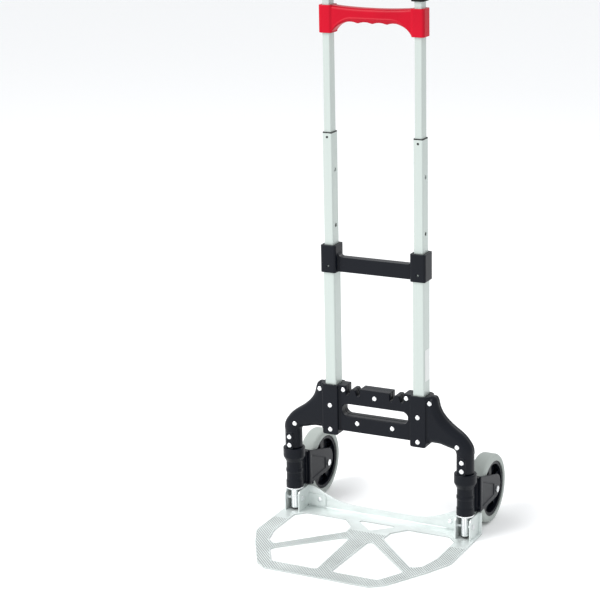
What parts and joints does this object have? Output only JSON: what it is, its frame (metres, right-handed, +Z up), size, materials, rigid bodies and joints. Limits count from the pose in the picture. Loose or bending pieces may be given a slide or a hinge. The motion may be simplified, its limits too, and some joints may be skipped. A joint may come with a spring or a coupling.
{
  "type": "hand truck",
  "caption": "Folding two-wheel hand truck: three-stage telescoping mast, squeeze release grip, fold-up spoked toe plate and swivelling side wheels.",
  "frame": {"origin": "on the floor under the mast, midway between the two legs, on the underside of the toe plate's rear strip", "axes": "+Z up the mast, +Y towards the wheels, -Y towards the front of the toe plate, +X to the right when looking at the toe plate from the front"},
  "size_m": [0.3892, 0.4261, 1.003],
  "materials": {
    "black_plastic": "moulded, satin",
    "red_plastic": "moulded, satin",
    "soft_black": "moulded",
    "tyre": "grey tread",
    "mast_aluminium": "anodised, satin",
    "plate_aluminium": "satin",
    "steel": "zinc plated",
    "nylon": "moulded",
    "rivet": "bright",
    "label": "blank"
  },
  "bodies": {
    "frame": {"frame_front_shell": "black_plastic", "frame_rear_shell": "black_plastic", "crossbar_rivets": "rivet", "arm_rivets": "rivet", "mast_foot_rivets": "rivet", "leg_rivets": "rivet", "mast_bracket": "black_plastic", "bracket_screws": "steel", "outer_tube_left": "mast_aluminium", "outer_tube_right": "mast_aluminium", "outer_bush_left": "nylon", "outer_bush_right": "nylon", "mast_plugs": "nylon", "blank_label": "label", "leg_tube_left": "mast_aluminium", "leg_tube_right": "mast_aluminium", "leg_foot_caps": "soft_black", "swivel_washers": "steel"},
    "middle_mast": {"middle_tube_left": "mast_aluminium", "middle_tube_right": "mast_aluminium", "middle_bush_left": "nylon", "middle_bush_right": "nylon", "middle_glide_left": "nylon", "middle_glide_right": "nylon", "lock_springs": "steel"},
    "upper_mast": {"upper_tube_left": "mast_aluminium", "upper_tube_right": "mast_aluminium", "upper_glide_left": "nylon", "upper_glide_right": "nylon", "top_handle": "soft_black", "handle_screws": "steel", "return_springs": "steel"},
    "release": {"release_handle": "red_plastic", "release_cross_pins": "steel", "release_rod_left": "steel", "release_rod_right": "steel"},
    "toe_plate": {"toe_plate": "plate_aluminium", "hinge_bracket_left": "plate_aluminium", "hinge_bracket_right": "plate_aluminium", "hinge_pin_left": "steel", "hinge_pin_right": "steel", "flange_rivets": "rivet"},
    "upper_lock_left": {"upper_lock_pin_left": "steel"},
    "middle_lock_left": {"middle_lock_pin_left": "steel"},
    "wheel_bracket_left": {"wheel_fork_left": "black_plastic", "swivel_bush_left": "nylon", "axle_left": "steel", "axle_nut_left": "steel"},
    "wheel_left": {"wheel_rim_left": "black_plastic", "tread_left": "tyre", "wheel_bush_left": "nylon"},
    "upper_lock_right": {"upper_lock_pin_right": "steel"},
    "middle_lock_right": {"middle_lock_pin_right": "steel"},
    "wheel_bracket_right": {"wheel_fork_right": "black_plastic", "swivel_bush_right": "nylon", "axle_right": "steel", "axle_nut_right": "steel"},
    "wheel_right": {"wheel_rim_right": "black_plastic", "tread_right": "tyre", "wheel_bush_right": "nylon"}
  },
  "joints": [
    {"name": "middle_mast_slide", "type": "slide", "parent": "frame", "child": "middle_mast", "axis": [0, 0, 1], "range_m": [-0.202, 0]},
    {"name": "upper_mast_slide", "type": "slide", "parent": "middle_mast", "child": "upper_mast", "axis": [0, 0, 1], "range_m": [-0.172, 0]},
    {"name": "release_handle_lift", "type": "slide", "parent": "upper_mast", "child": "release", "axis": [0, 0, 1], "range_m": [0, 0.01], "stiffness_N_per_m": 900, "springref_m": -0.006, "deforming": ["return_springs"]},
    {"name": "toe_plate_fold", "type": "hinge", "parent": "frame", "child": "toe_plate", "pos_m": [0, 0, 0.025], "axis": [-1, 0, 0], "range_deg": [0, 90]},
    {"name": "left_wheel_swing", "type": "hinge", "parent": "frame", "child": "wheel_bracket_left", "pos_m": [-0.17, 0, 0.09], "axis": [0, 0, -1], "range_deg": [0, 90]},
    {"name": "left_wheel_spin", "type": "hinge", "parent": "wheel_bracket_left", "child": "wheel_left", "pos_m": [-0.17, 0.0996, 0.0635], "axis": [1, 0, 0], "continuous": true},
    {"name": "left_upper_lock", "type": "slide", "parent": "upper_mast", "child": "upper_lock_left", "axis": [-1, 0, 0], "range_m": [0, 0.003]},
    {"name": "left_middle_lock", "type": "slide", "parent": "middle_mast", "child": "middle_lock_left", "axis": [1, 0, 0], "range_m": [0, 0.003], "stiffness_N_per_m": 300, "springref_m": -0.003},
    {"name": "right_wheel_swing", "type": "hinge", "parent": "frame", "child": "wheel_bracket_right", "pos_m": [0.17, 0, 0.09], "axis": [0, 0, 1], "range_deg": [0, 90]},
    {"name": "right_wheel_spin", "type": "hinge", "parent": "wheel_bracket_right", "child": "wheel_right", "pos_m": [0.17, 0.0996, 0.0635], "axis": [1, 0, 0], "continuous": true},
    {"name": "right_upper_lock", "type": "slide", "parent": "upper_mast", "child": "upper_lock_right", "axis": [-1, 0, 0], "range_m": [0, 0.003]},
    {"name": "right_middle_lock", "type": "slide", "parent": "middle_mast", "child": "middle_lock_right", "axis": [1, 0, 0], "range_m": [0, 0.003], "stiffness_N_per_m": 300, "springref_m": -0.003}
  ],
  "couplings": [
    {"joint": "left_wheel_swing", "follows": "toe_plate_fold", "ratio": 1},
    {"joint": "left_upper_lock", "follows": "release_handle_lift", "ratio": 0.3},
    {"joint": "right_wheel_swing", "follows": "toe_plate_fold", "ratio": 1},
    {"joint": "right_upper_lock", "follows": "release_handle_lift", "ratio": 0.3}
  ]
}
